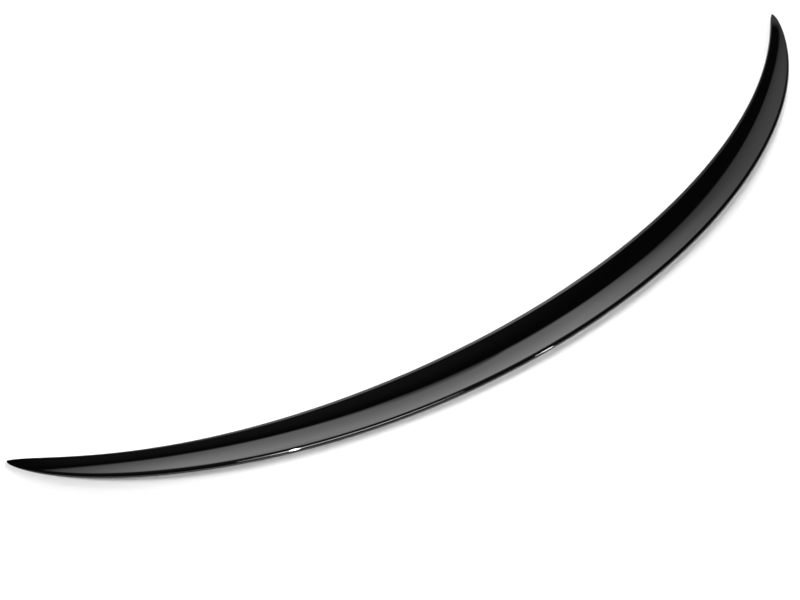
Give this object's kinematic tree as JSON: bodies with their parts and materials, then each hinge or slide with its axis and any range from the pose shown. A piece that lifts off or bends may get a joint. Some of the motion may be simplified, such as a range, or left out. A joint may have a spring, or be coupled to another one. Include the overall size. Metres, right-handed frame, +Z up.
{
  "type": "car rear spoiler",
  "caption": "Slim curved boot-lid lip spoiler: a tapering gloss-black blade that ramps up to a rounded rear lip, hollow and ribbed underneath, with a flat face for bonding.",
  "frame": {"origin": "on the bonding face, at the centre of the outline in plan", "axes": "+X runs across the car, -Y points to the rear of the car, +Z is up"},
  "size_m": [1.1554, 0.2348, 0.0141],
  "materials": {
    "gloss_black": "deep gloss black lacquer on a moulded plastic blade"
  },
  "bodies": {
    "root": {"spoiler": "gloss_black"}
  },
  "joints": []
}
